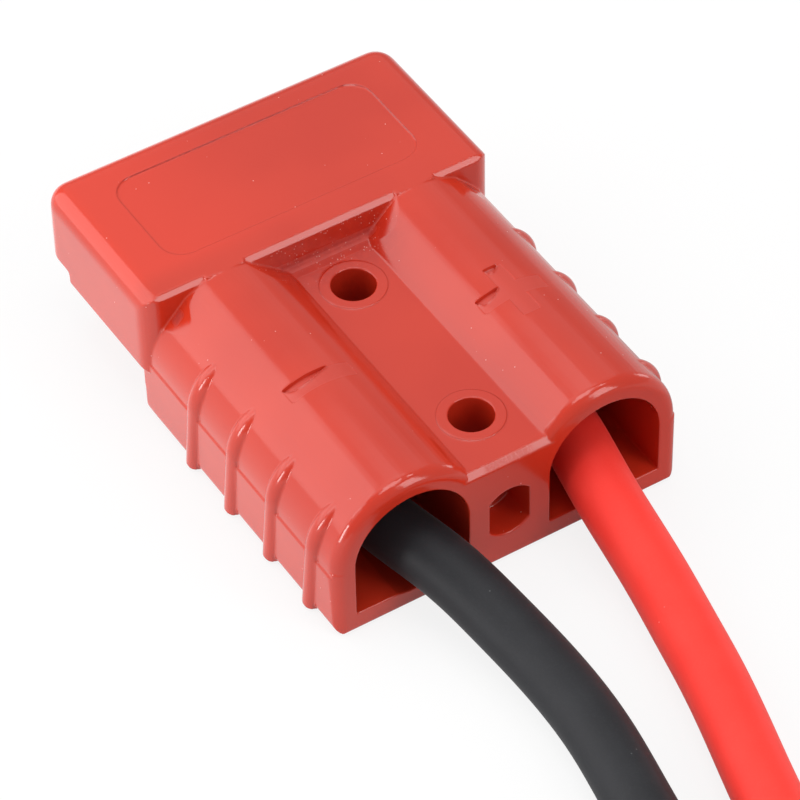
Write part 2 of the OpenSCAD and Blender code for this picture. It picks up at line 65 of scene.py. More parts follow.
# The housing's own places, from its solid
HOUSING_LOW, HOUSING_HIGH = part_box("housing")
REAR = HOUSING_LOW.y
FRONT = HOUSING_HIGH.y
CROWN = HOUSING_HIGH.z
BARREL_X = 9.9 * MM
PLATE_Z = 12.5 * MM
HEAD_Y = 5.95 * MM
HOLE_YS = (REAR + 6.1 * MM, REAR + 25.3 * MM)
MARK_Y = REAR + 14.75 * MM
RING_R = 3.1 * MM
CREASE_Y = HEAD_Y - 0.7 * MM
CREASE_Z = PLATE_Z + 0.4 * MM
RIB_X = 17.189 * MM
RIB_FIRST = 4.8 * MM
RIB_PITCH = 6.6 * MM
RIB_YS = tuple(REAR + RIB_FIRST + RIB_PITCH * i for i in range(4))
RIB_LEAN = math.radians(7.0)
RIB_SEAM = 0.06 * MM
CURL_Z = 8.2 * MM
PANEL_W = 26.6 * MM
PANEL_L = 11.6 * MM
PANEL_R = 2.3 * MM
PANEL_Y = FRONT - 3.6 * MM - PANEL_L / 2.0

# Leads: each point is (x, distance behind the rear face, height of the middle), in millimetres
RUN_Z = 2.9
TIED_Z = 4.15
RISE_Z = 3.525
END_Z = 3.62
BLACK_ROUTE = (
    (-9.9, -10.2, 5.7), (-9.9, -7, 5.7), (-9.1, -3, 5.45), (-8.1, 0.5, 5.1), (-7.2, 4, 4.45),
    (-6.5, 8, 3.7), (-6, 12, 3.15), (-5.8, 17, RUN_Z), (-6.2, 23, RUN_Z), (-7.2, 29, RUN_Z),
    (-8.4, 36, RUN_Z), (-9.1, 46, RUN_Z), (-9.2, 58, RUN_Z), (-9.2, 72, RUN_Z), (-9.2, 85, RUN_Z),
    (-9.2, 96, RISE_Z), (-9.2, 106, TIED_Z), (-9.2, 114, TIED_Z), (-6.9, 124, RISE_Z),
    (-1.9, 132.5, RUN_Z), (3.3, 141, RUN_Z), (5.8, 150, RUN_Z), (3.3, 159.4, RUN_Z),
    (-3.6, 166.3, RUN_Z), (-13, 168.8, RUN_Z), (-22.4, 166.3, RUN_Z), (-29.3, 159.4, RUN_Z),
    (-31.8, 150, RUN_Z), (-29.3, 141, RUN_Z), (-24.1, 132.5, RUN_Z), (-19.1, 124, RISE_Z),
    (-16.8, 114, TIED_Z), (-16.8, 106, TIED_Z), (-17.2, 97, END_Z), (-18, 86, END_Z),
    (-18.8, 75, END_Z), (-19.6, 64, END_Z),
)
RED_ROUTE = (
    (9.9, -10.2, 5.7), (9.9, -7, 5.7), (9.4, -3, 5.45), (8.8, 0.5, 5.1), (8.4, 4, 4.45),
    (8.05, 8, 3.7), (7.55, 12, 3.15), (6.6, 17, RUN_Z), (5.3, 23, RUN_Z), (3.7, 29, RUN_Z),
    (1.7, 36, RUN_Z), (-0.4, 46, RUN_Z), (-1.4, 58, RUN_Z), (-1.6, 72, RUN_Z), (-1.6, 85, RUN_Z),
    (-1.6, 96, RISE_Z), (-1.6, 106, TIED_Z), (-1.6, 114, TIED_Z), (0.7, 124, RISE_Z),
    (5.7, 132.5, RUN_Z), (10.9, 141, RUN_Z), (13.4, 150, RUN_Z), (9.9, 163.2, RUN_Z),
    (0.2, 172.9, RUN_Z), (-13, 176.4, RUN_Z), (-26.2, 172.9, RUN_Z), (-35.9, 163.2, RUN_Z),
    (-39.4, 150, RUN_Z), (-36.9, 141, RUN_Z), (-31.7, 132.5, RUN_Z), (-26.7, 124, RISE_Z),
    (-24.4, 114, TIED_Z), (-24.4, 106, TIED_Z), (-24.9, 99, END_Z), (-26.2, 92, END_Z),
    (-27.6, 85, END_Z),
)
SIDES = {
    "negative": {"route": BLACK_ROUTE, "tint": "black"},
    "positive": {"route": RED_ROUTE, "tint": "red"},
}


# Sizes and colours that a user would change

def tint(name, description, default):
    """A colour property, in linear light."""
    return FloatVectorProperty(name=name, description=description, default=default, subtype="COLOR",
                               size=3, min=0.0, max=1.0)


def size(name, description, default):
    """A length property, given in millimetres."""
    return FloatProperty(name=name, description=description, default=default * MM, unit="LENGTH",
                         precision=5)


def share(name, description, default):
    """A plain factor."""
    return FloatProperty(name=name, description=description, default=default, subtype="FACTOR",
                         min=0.0, max=10.0)


class HousingLook(bpy.types.PropertyGroup):
    """Moulding of the housing."""

    red: tint("Red", "Colour of the moulded plastic", (0.55, 0.0325, 0.0125))
    deep_red: tint("Deep red", "Colour of its darker flow patches", (0.51, 0.027, 0.0100))
    gloss: share("Roughness", "Roughness of the moulded skin", 0.15)
    cell: size("Cell", "Mesh cell that the edges are rounded with", 0.09)
    softening: IntProperty(name="Softening", description="Passes that round the moulded edges",
                           default=2, min=0)
    head_softening: IntProperty(name="Head softening", default=60, min=0,
                                description="Further passes for the head's outer edges")
    mark_width: size("Mark width", "Width of the pole marks' bars", 1.8)
    mark_length: size("Mark length", "Length of the pole marks' bars", 6.6)
    mark_deep: size("Gouge depth", "Depth of the gouge along a mark's front edge", 0.26)
    mark_shallow: size("Mark depth", "Depth of the rest of a mark", 0.035)


class LeadLook(bpy.types.PropertyGroup):
    """Silicone leads."""

    diameter: size("Diameter", "Outer diameter of each lead", 5.8)
    black: tint("Black", "Colour of the negative lead", (0.0138, 0.0140, 0.0168))
    red: tint("Red", "Colour of the positive lead", (0.92, 0.038, 0.026))
    matte: share("Roughness", "Roughness of the silicone", 0.55)


class FittingLook(bpy.types.PropertyGroup):
    """Metal and small fittings."""

    silver: tint("Silver", "Silver plate on the contacts", (0.80, 0.79, 0.76))
    steel: tint("Steel", "Spring steel", (0.56, 0.57, 0.59))
    tin: tint("Tin", "Tin plate on the lugs", (0.66, 0.67, 0.68))
    copper: tint("Copper", "Bare strands", (0.72, 0.34, 0.19))
    nylon: tint("Nylon", "Cable tie", (0.018, 0.018, 0.019))
    sleeve_black: tint("Black sleeve", "Shrunk sleeve on the negative lead", (0.014, 0.014, 0.015))
    sleeve_red: tint("Red sleeve", "Shrunk sleeve on the positive lead", (0.55, 0.022, 0.016))
    sleeve_wall: size("Sleeve wall", "Wall of a shrunk sleeve", 0.5)


class StudioLook(bpy.types.PropertyGroup):
    """Floor, light and camera."""

    floor: tint("Floor", "Colour of the floor", (0.85, 0.85, 0.85))
    lens: FloatProperty(name="Lens", description="Focal length of the camera", default=202.5, unit="CAMERA")
    ambient: share("Ambient", "Strength of the light from all round", 0.45)


# Arithmetic on shader sockets

class Wire:
    """A shader value that takes part in Python arithmetic: every step adds one Math node."""

    def __init__(self, tree, socket=None):
        self.tree = tree
        self.socket = socket

    def node(self, kind, settings=None, inputs=None, output=0):
        """Add a node of that type: its settings first, then a value or a link for each of its sockets."""
        made = self.tree.nodes.new(kind)
        for name, value in (settings or {}).items():
            setattr(made, name, value)
        for name, value in (inputs or {}).items():
            self.join(made.inputs[name], value)
        return Wire(self.tree, made.outputs[output])

    def join(self, socket, value):
        """Link a wire to a socket, or set a plain value on it."""
        if isinstance(value, Wire):
            self.tree.links.new(value.socket, socket)
        else:
            socket.default_value = value

    def maths(self, operation, *values, clamp=False):
        """Math node on this wire and other values."""
        sockets = dict(enumerate((self, *values)))
        return self.node("ShaderNodeMath", {"operation": operation, "use_clamp": clamp}, sockets)

    def __add__(self, other):
        return self.maths("ADD", other)

    def __radd__(self, other):
        return self.maths("ADD", other)

    def __sub__(self, other):
        return self.maths("SUBTRACT", other)

    def __rsub__(self, other):
        return (self * -1.0).maths("ADD", other)

    def __mul__(self, other):
        return self.maths("MULTIPLY", other)

    def __rmul__(self, other):
        return self.maths("MULTIPLY", other)

    def __abs__(self):
        return self.maths("ABSOLUTE")

    def most(self, other):
        """The larger of two values."""
        return self.maths("MAXIMUM", other)

    def least(self, other):
        """The smaller of two values."""
        return self.maths("MINIMUM", other)

    def root(self):
        """Square root."""
        return self.maths("SQRT")

    def step(self, start, end):
        """0 before start, 1 after end, smooth between them; start may lie beyond end."""
        settings = {"interpolation_type": "SMOOTHSTEP", "clamp": True}
        if start <= end:
            sockets = {"Value": self, "From Min": start, "From Max": end, "To Min": 0.0, "To Max": 1.0}
        else:
            sockets = {"Value": self, "From Min": end, "From Max": start, "To Min": 1.0, "To Max": 0.0}
        return self.node("ShaderNodeMapRange", settings, sockets)

    def noise(self, scale, detail=2.0, roughness=0.5):
        """Value of a noise pattern at this position, about 0 to 1; scale is in cells per metre."""
        sockets = {"Vector": self, "Scale": scale, "Detail": detail, "Roughness": roughness}
        return self.node("ShaderNodeTexNoise", {"noise_dimensions": "3D"}, sockets)

    def dots(self, scale):
        """Distance to the nearest of points scattered through space, in cells; scale is cells per metre."""
        sockets = {"Vector": self, "Scale": scale, "Randomness": 1.0}
        return self.node("ShaderNodeTexVoronoi", {"feature": "F1", "voronoi_dimensions": "3D"}, sockets)

    def blend(self, one, two):
        """Colour that goes from one to two as this value goes from 0 to 1."""
        one = (*one, 1.0) if isinstance(one, tuple) else one
        two = (*two, 1.0) if isinstance(two, tuple) else two
        return self.node("ShaderNodeMix", {"data_type": "RGBA"}, {0: self, 6: one, 7: two}, output=2)

    def bump(self, height, strength=1.0):
        """Normal that is bent by this height, which counts in units of the given length."""
        return self.node("ShaderNodeBump", None, {"Height": self, "Distance": height, "Strength": strength})

    def parts(self):
        """The three parts of a position."""
        return [self.node("ShaderNodeSeparateXYZ", None, {0: self}, output=k) for k in range(3)]

    def at(self, place=(0.0, 0.0, 0.0), turn=(0.0, 0.0, 0.0), scale=(1.0, 1.0, 1.0)):
        """This position moved, turned and scaled, to centre or stretch a pattern."""
        sockets = {0: self, "Location": place, "Rotation": turn, "Scale": scale}
        return self.node("ShaderNodeMapping", None, sockets)


class Finish:
    """A material in the making: its principled shader, and the wires that feed it."""

    def __init__(self, name, **constants):
        self.material = bpy.data.materials.new(name)
        self.material.use_nodes = True
        self.tree = self.material.node_tree
        self.shader = self.tree.nodes["Principled BSDF"]
        self.wire = Wire(self.tree)
        self.feed(**constants)

    def place(self):
        """Position on the object, in metres."""
        return self.wire.node("ShaderNodeTexCoord", output=3)

    def along(self):
        """Position on a swept piece: turns round it, then metres along it."""
        return self.wire.node("ShaderNodeTexCoord", output=2)

    def feed(self, **values):
        """Set or link the shader's sockets; their names have _ for a space."""
        for name, value in values.items():
            socket = self.shader.inputs[name.replace("_", " ")]
            plain = (*value, 1.0) if isinstance(value, tuple) and socket.type == "RGBA" else value
            self.wire.join(socket, plain)


# Finishes

def dust(place, cells, radius, share_left):
    """Mask of tiny specks: points near a scattered centre, kept where a broad noise is high."""
    specks = place.dots(cells).step(radius, 0.4 * radius)
    return specks * place.noise(cells * 0.21, 1.0).step(1.0 - share_left, 1.0 - 0.8 * share_left)


def moulded_red(look):
    """Glossy moulded plastic: flow patches, a slight orange peel, gate tear, fine lines and dust, with
    painted shade in the pocket and along the sunk panel's step, and a painted glow on the head's top.
    """
    finish = Finish("moulded_red_plastic", IOR=1.56)
    place = finish.place()
    x, y, z = place.parts()
    flow = place.noise(70.0, 2.0).step(0.35, 0.65)
    peel = place.noise(900.0, 2.0)
    grain = place.noise(5200.0, 1.0)

    # Dust lies all over in single specks, and thickly in the pocket between the barrels and the head
    pocket = (y - HEAD_Y).step(-4.2 * MM, -1.0 * MM) * (y - HEAD_Y).step(0.9 * MM, 0.2 * MM)
    pocket = pocket * abs(x).step(8.5 * MM, 5.5 * MM) * z.step(PLATE_Z - 1.5 * MM, PLATE_Z)
    pocket = pocket * z.step(CROWN - 0.2 * MM, CROWN - 0.8 * MM)
    specks = dust(place, 900.0, 0.065, 0.5)
    thick = place.dots(3600.0).step(0.30, 0.08) * place.noise(900.0, 3.0, 0.6).step(0.47, 0.60) * pocket
    dusty = specks.most(thick * 0.75)

    # Painted shade: a dark line in the step round the sunk panel, darkest along its front and right
    beside = abs(x) - (PANEL_W / 2.0 - PANEL_R)
    ahead = abs(y - PANEL_Y) - (PANEL_L / 2.0 - PANEL_R)
    outside = (beside.most(0.0) * beside.most(0.0) + ahead.most(0.0) * ahead.most(0.0)).root()
    panel_shade = abs(outside + beside.most(ahead).least(0.0) - PANEL_R).step(0.11 * MM, 0.03 * MM)
    panel_shade = panel_shade * z.step(CROWN - 0.3 * MM, CROWN - 0.15 * MM)
    panel_shade = panel_shade * (0.12 + (x * 0.35 + y - PANEL_Y).step(-1.5 * MM, 2.5 * MM) * 0.55)
    panel_shade = panel_shade * (0.55 + place.noise(2100.0, 2.0).step(0.35, 0.6) * 0.45)

    # Fine grooves round the two holes, left by the pins of the mould
    rings = None
    for hole_y in HOLE_YS:
        out = (x * x + (y - hole_y) * (y - hole_y)).root()
        ring = abs(out - RING_R).step(0.065 * MM, 0.02 * MM)
        rings = ring if rings is None else rings.most(ring)
    rings = rings * z.step(PLATE_Z - 0.4 * MM, PLATE_Z - 0.2 * MM)

    # The marks' floors are duller than the polished skin round them
    across = abs(y - MARK_Y)
    half_w = look.mark_width / 2.0
    half_l = look.mark_length / 2.0
    beside_crown = abs(abs(x) - BARREL_X)
    bars = (beside_crown - half_l).most(across - half_w)
    upright = (beside_crown - half_w).most(across - half_l).most(x * -1.0)
    marks = bars.least(upright).step(0.08 * MM, -0.08 * MM) * z.step(CROWN - 2.2 * MM, CROWN - 1.8 * MM)

    # Painted shade in the pocket, darkest in the crease where the head's rear wall meets the plate's ramp
    blotches = place.noise(1500.0, 3.0, 0.6).step(0.35, 0.6)
    crease = abs(y - CREASE_Y).step(0.75 * MM, 0.15 * MM) * abs(z - CREASE_Z).step(0.7 * MM, 0.2 * MM)
    pocket_shade = (y - HEAD_Y).step(-7.0 * MM, -1.5 * MM) * (y - HEAD_Y).step(0.4 * MM, 0.1 * MM)
    pocket_shade = pocket_shade * abs(x).step(8.0 * MM, 5.0 * MM) * z.step(CROWN - 0.3 * MM, CROWN - 0.7 * MM)
    pocket_shade = (pocket_shade * 0.42).most(crease * 0.6) * (0.6 + blotches * 0.4)

    # The torn gate on the plate's rear bevel
    gate = (y - REAR).step(0.75 * MM, 0.5 * MM) * z.step(PLATE_Z - 0.85 * MM, PLATE_Z - 0.65 * MM)
    gate = gate * z.step(PLATE_Z + 0.05 * MM, PLATE_Z - 0.1 * MM) * abs(x).step(2.6 * MM, 2.2 * MM)
    torn = place.at(scale=(1.0, 0.35, 0.35)).noise(2600.0, 3.0, 0.6)

    # Painted light: the head's thin top is painted a brighter red towards its left edge, as a glow
    glow = (y - HEAD_Y).step(1.0 * MM, 4.0 * MM) * x.step(4.0 * MM, -16.0 * MM)
    glow = glow * z.step(CROWN - 1.2 * MM, CROWN - 0.4 * MM)

    colour = flow.blend(tuple(look.red), tuple(look.deep_red))
    # painted glow that brightens the head's top towards its left edge
    colour = glow.blend(colour, (0.64, 0.037, 0.0145))
    colour = (rings * 0.20).blend(colour, (0.17, 0.012, 0.010))
    # painted shade along the sunk panel's step
    colour = panel_shade.blend(colour, (0.24, 0.008, 0.006))
    # painted shade: the pocket and its crease are darkened
    colour = pocket_shade.blend(colour, (0.27, 0.005, 0.003))
    colour = (marks * 0.35).blend(colour, (0.53, 0.052, 0.036))
    colour = (gate * torn.step(0.5, 0.7) * 0.16).blend(colour, (0.86, 0.30, 0.26))
    colour = (dusty * 0.55).blend(colour, (0.83, 0.62, 0.56))
    rough = look.gloss + (peel - 0.5) * 0.06 + dusty * 0.4 + gate * 0.12 + marks * 0.15 + crease * 0.5
    height = peel * 0.22 + grain * 0.03 + dusty * 0.5 + gate * torn * 0.25 - rings * 1.6
    finish.feed(Base_Color=colour, Roughness=rough, Normal=height.bump(0.02 * MM, 0.6))
    return finish.material


def silicone(name, colour, pale, matte):
    """Matte silicone: faint bands along the lead, a fine powdery grain and a few specks of dust."""
    finish = Finish(name, IOR=1.36, Sheen_Weight=0.09, Sheen_Roughness=0.35)
    place = finish.place()
    bands = finish.along().at(scale=(26.0, 18.0, 1.0)).noise(1.0, 2.0)
    clouds = place.noise(160.0, 3.0, 0.6)
    grain = place.noise(4200.0, 2.0, 0.6)
    specks = dust(place, 800.0, 0.085, 0.42)
    powder = (clouds.step(0.35, 0.75) * 0.5 + grain.step(0.45, 0.8) * 0.3) * 0.45
    tone = powder.blend(colour, pale)
    tone = (specks * 0.45).blend(tone, tuple(0.5 + 0.5 * c for c in pale))
    rough = matte + (clouds - 0.5) * 0.14 + (bands - 0.5) * 0.06
    height = grain * 0.5 + bands * 0.35 + specks * 0.6
    finish.feed(Base_Color=tone, Roughness=rough, Normal=height.bump(0.02 * MM, 0.55))
    return finish.material


def plated(name, colour, roughness, stretch, wear):
    """Plated or rolled metal: fine drawn lines, cloudy tarnish and small pits."""
    finish = Finish(name, Metallic=1.0)
    place = finish.place()
    lines = place.at(scale=stretch).noise(2600.0, 3.0, 0.65)
    clouds = place.noise(260.0, 3.0, 0.6)
    pits = place.dots(1500.0).step(0.16, 0.05)
    dulled = clouds.step(0.45, 0.8) * wear
    tone = dulled.blend(colour, tuple(0.62 * c for c in colour))
    tone = (pits * 0.3).blend(tone, tuple(0.35 * c for c in colour))
    rough = roughness + (lines - 0.5) * 0.16 + dulled * 0.18 + pits * 0.2
    height = lines * 0.5 - pits * 0.8
    finish.feed(Base_Color=tone, Roughness=rough, Normal=height.bump(0.015 * MM, 0.5))
    return finish.material


def shrunk_tube(name, colour):
    """Heat-shrunk tube: satin skin with soft ripples where it drew in."""
    finish = Finish(name, IOR=1.48)
    place = finish.place()
    ripples = finish.along().at(scale=(5.0, 420.0, 1.0)).noise(1.0, 2.0)
    grain = place.noise(3800.0, 2.0)
    tone = ripples.step(0.3, 0.8).blend(colour, tuple(0.75 * c + 0.012 for c in colour))
    rough = 0.38 + (ripples - 0.5) * 0.12 + (grain - 0.5) * 0.08
    height = ripples * 1.0 + grain * 0.2
    finish.feed(Base_Color=tone, Roughness=rough, Normal=height.bump(0.03 * MM, 0.7))
    return finish.material


def moulded_nylon(colour):
    """Black nylon of the tie: satin, with the strap's cross teeth and a sparked grain."""
    finish = Finish("moulded_black_nylon", IOR=1.52)
    place = finish.place()
    x, _, z = place.parts()
    grain = place.noise(3000.0, 2.0)
    teeth = (x * (2.0 * math.pi / (1.1 * MM))).maths("SINE").step(-0.6, 0.6)
    on_strap = z.step(8.3 * MM, 8.1 * MM)
    tone = grain.step(0.4, 0.8).blend(colour, tuple(c * 1.6 + 0.004 for c in colour))
    rough = 0.42 + (grain - 0.5) * 0.2
    height = grain * 0.3 + teeth * on_strap * 2.0
    finish.feed(Base_Color=tone, Roughness=rough, Normal=height.bump(0.05 * MM, 0.6))
    return finish.material


# Meshes

def piece(name, mesh, material, slot, *nodes):
    """Put a finished mesh in the scene: it rides on the part's body and stands for CAD nodes."""
    obj = bpy.data.objects.new(name, mesh)
    bpy.context.scene.collection.objects.link(obj)
    mesh.materials.clear()
    mesh.materials.append(material)
    mesh.polygons.foreach_set("use_smooth", np.ones(len(mesh.polygons), bool))
    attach(obj, BODY)
    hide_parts(*nodes)
    return obj


def grid_faces(rows, columns):
    """Quads of a grid whose columns close on themselves."""
    r, c = np.meshgrid(np.arange(rows - 1), np.arange(columns), indexing="ij")
    here = r * columns
    ahead = here + columns
    beside = (c + 1) % columns
    return np.stack([here + c, ahead + c, ahead + beside, here + beside], axis=-1).reshape(-1, 4)


def closed_tube(name, rings, along, cap=True):
    """Mesh of a grid of points, rings[i, k], with a UV map of turns round and metres along."""
    rows, columns = rings.shape[:2]
    quads = grid_faces(rows, columns)
    points = rings.reshape(-1, 3)
    faces = quads.tolist()
    if cap:
        faces.append(list(range(columns)))
        faces.append(list(range(rows * columns - 1, (rows - 1) * columns - 1, -1)))
    mesh = bpy.data.meshes.new(name)
    mesh.from_pydata(points.tolist(), [], faces)
    turn = np.tile(np.arange(columns) / columns, rows)
    length = np.repeat(along, columns)
    corner = np.zeros(len(mesh.loops), np.int32)
    mesh.loops.foreach_get("vertex_index", corner)
    uv = np.stack([turn[corner], length[corner]], axis=-1)
    mesh.uv_layers.new(name="along").data.foreach_set("uv", uv.astype(np.float32).ravel())
    outwards(mesh)
    return mesh


def outwards(mesh):
    """Turn every face of a closed mesh outwards."""
    work = bmesh.new()
    work.from_mesh(mesh)
    bmesh.ops.recalc_face_normals(work, faces=work.faces)
    work.to_mesh(mesh)
    work.free()


def laid(route):
    """A route's points in the part's frame, in metres."""
    points = np.array(route, float) * MM
    return np.stack([points[:, 0], REAR - points[:, 1], points[:, 2]], axis=-1)


def smooth_line(points, spacing):
    """Natural cubic spline through the points, over their chord length, as points evenly spaced along it.

    With second derivatives m at the points, each interval is the cubic whose ends are the points and
    whose second derivative runs straight from one m to the next; m solves one linear system.
    """
    knots = np.concatenate([[0.0], np.cumsum(np.linalg.norm(np.diff(points, axis=0), axis=1))])
    gap = np.diff(knots)
    count = len(points)
    system = np.eye(count)
    inner = np.arange(1, count - 1)
    system[inner, inner - 1] = gap[:-1]
    system[inner, inner] = 2.0 * (gap[:-1] + gap[1:])
    system[inner, inner + 1] = gap[1:]
    slope = np.diff(points, axis=0) / gap[:, None]
    pull = np.zeros_like(points)
    pull[1:-1] = 6.0 * np.diff(slope, axis=0)
    bend = np.linalg.solve(system, pull)

    def at(t):
        i = np.clip(np.searchsorted(knots, t, side="right") - 1, 0, count - 2)
        h = gap[i][:, None]
        a = ((knots[i + 1] - t) / gap[i])[:, None]
        b = 1.0 - a
        curve = ((a**3 - a) * bend[i] + (b**3 - b) * bend[i + 1]) * h**2 / 6.0
        return a * points[i] + b * points[i + 1] + curve

    fine = np.linspace(0.0, knots[-1], 40 * count)
    along = np.concatenate([[0.0], np.cumsum(np.linalg.norm(np.diff(at(fine), axis=0), axis=1))])
    even = np.linspace(0.0, along[-1], max(2, round(along[-1] / spacing) + 1))
    return at(np.interp(even, along, fine)), even


def swept(line, radius, sides):
    """Rings square to a line that never stands upright.

    Each ring's side is the heading crossed with +Z, and its up is square to both.
    """
    heading = np.gradient(line, axis=0)
    heading /= np.linalg.norm(heading, axis=1)[:, None]
    side = np.cross(heading, (0.0, 0.0, 1.0))
    side /= np.linalg.norm(side, axis=1)[:, None]
    up = np.cross(side, heading)
    turn = np.arange(sides) * 2.0 * math.pi / sides
    wheel = np.cos(turn)[None, :, None] * side[:, None] + np.sin(turn)[None, :, None] * up[:, None]
    return line[:, None] + np.broadcast_to(radius, len(line))[:, None, None] * wheel


def merged_copy(node):
    """Copy of a CAD node's mesh in millimetres, its loose triangles joined at their shared corners."""
    work = bmesh.new()
    work.from_mesh(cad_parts[node].data)
    bmesh.ops.remove_doubles(work, verts=work.verts, dist=0.001 * MM)
    bmesh.ops.scale(work, vec=(1.0 / MM,) * 3, verts=work.verts)
    mesh = bpy.data.meshes.new(node + "_work")
    work.to_mesh(mesh)
    work.free()
    return mesh


def modified(mesh, *modifiers):
    """Mesh after modifiers, each a type and its settings; the mesh that went in is deleted."""
    holder = bpy.data.objects.new("work", mesh)
    bpy.context.scene.collection.objects.link(holder)
    for kind, settings in modifiers:
        modifier = holder.modifiers.new(kind.lower(), kind)
        for name, value in settings.items():
            setattr(modifier, name, value)
    depsgraph = bpy.context.evaluated_depsgraph_get()
    made = bpy.data.meshes.new_from_object(holder.evaluated_get(depsgraph))
    bpy.data.objects.remove(holder)
    bpy.data.meshes.remove(mesh)
    return made


def points_of(mesh):
    """A mesh's points as an array."""
    flat = np.zeros(3 * len(mesh.vertices), np.float32)
    mesh.vertices.foreach_get("co", flat)
    return flat.reshape(-1, 3).astype(float)


def put_points(mesh, points):
    """Write an array of points back to a mesh."""
    mesh.vertices.foreach_set("co", points.astype(np.float32).ravel())
    mesh.update()


STEEP = math.radians(48.0)
HALF_WAY = 0.5
SMALL_CELL = 0.14 * MM
LEAF_CELL = 0.12 * MM


def softened(node, cell, passes, budget, softer=None, carve=None):
    """Copy of a CAD node with its edges rounded as a mould or a die leaves them, in metres.

    The solid is rebuilt on an even grid of cells, and each point is averaged with its neighbours a few
    times, which rounds edges by about a cell. Then softer may give a number of further passes and a
    function for the share of them that each point takes, and carve may move points. Flat stretches are
    thinned until the triangles fit the budget. Normals follow the larger faces, so that flats stay
    flat, and break at steep edges. All of it is done in millimetres.
    """
    mesh = modified(
        merged_copy(node),
        ("REMESH", {"mode": "VOXEL", "voxel_size": cell / MM, "adaptivity": 0.0, "use_smooth_shade": True}),
        ("SMOOTH", {"factor": HALF_WAY, "iterations": passes}),
    )
    if softer:
        more_passes, taken = softer
        crisp = points_of(mesh)
        mesh = modified(mesh, ("SMOOTH", {"factor": HALF_WAY, "iterations": more_passes}))
        put_points(mesh, crisp + (points_of(mesh) - crisp) * taken(crisp)[:, None])
    if carve:
        put_points(mesh, carve(points_of(mesh)))
    ratio = min(1.0, budget / (2 * len(mesh.polygons)))
    mesh = modified(mesh, ("DECIMATE", {"decimate_type": "COLLAPSE", "ratio": ratio}))
    mesh.set_sharp_from_angle(angle=STEEP)
    mesh = modified(mesh, ("WEIGHTED_NORMAL", {"mode": "FACE_AREA", "keep_sharp": True}))
    put_points(mesh, points_of(mesh) * MM)
    return mesh


def smooth_step(value, start, end):
    """0 at start, 1 at end, smooth between them."""
    t = np.clip((value - start) / (end - start), 0.0, 1.0)
    return t * t * (3.0 - 2.0 * t)


def box_distance(x, y, half_x, half_y):
    """Distance to a box centred on the origin, less than 0 inside it."""
    dx = np.abs(x) - half_x
    dy = np.abs(y) - half_y
    outside = np.hypot(np.maximum(dx, 0.0), np.maximum(dy, 0.0))
    return outside + np.minimum(np.maximum(dx, dy), 0.0)


def head_edges(points):
    """Share of the head's extra softening: all of it outside its sunk panel, none behind the head."""
    x, y, _ = points.T
    panel_side = PANEL_W / 2.0 / MM
    panel_front = (PANEL_Y + PANEL_L / 2.0) / MM
    head_rear = HEAD_Y / MM
    beside = smooth_step(np.abs(x), panel_side + 0.9, panel_side + 1.9)
    ahead = smooth_step(y, panel_front + 0.8, panel_front + 1.8)
    return np.maximum(beside, ahead) * smooth_step(y, head_rear + 0.5, head_rear + 2.0)


def full_ribs(points):
    """Grow the upright half of each grip rib by the hair that it is thinner than the curl above it.

    In a rib's own leaning frame its upright half is a cylinder: points near its skin move out from its
    axis, all the way below the seam and not at all above it.
    """
    x, y, z = points.T
    skin_in, skin_out = 0.8, 1.05
    wall_in, wall_out = 0.47, 0.6
    seam_top, seam_foot = CURL_Z / MM + 0.04, CURL_Z / MM - 0.12
    lean_cos, lean_sin = math.cos(RIB_LEAN), math.sin(RIB_LEAN)
    for rib_y in RIB_YS:
        from_rib = y - rib_y / MM
        ahead = from_rib * lean_cos + z * lean_sin
        height = z * lean_cos - from_rib * lean_sin
        beside = np.abs(x) - RIB_X / MM
        out = np.hypot(beside, ahead)
        near = (out > skin_in) & (out < skin_out)
        below_seam = smooth_step(height, seam_top, seam_foot) * smooth_step(beside, wall_in, wall_out)
        grow = np.where(near, 1.0 + RIB_SEAM / MM * below_seam / np.maximum(out, skin_in), 1.0)
        ahead = ahead * grow
        x = np.where(near, np.sign(x) * (RIB_X / MM + beside * grow), x)
        y = np.where(near, rib_y / MM + ahead * lean_cos - height * lean_sin, y)
        z = np.where(near, ahead * lean_sin + height * lean_cos, z)
    return np.stack([x, y, z], axis=-1)


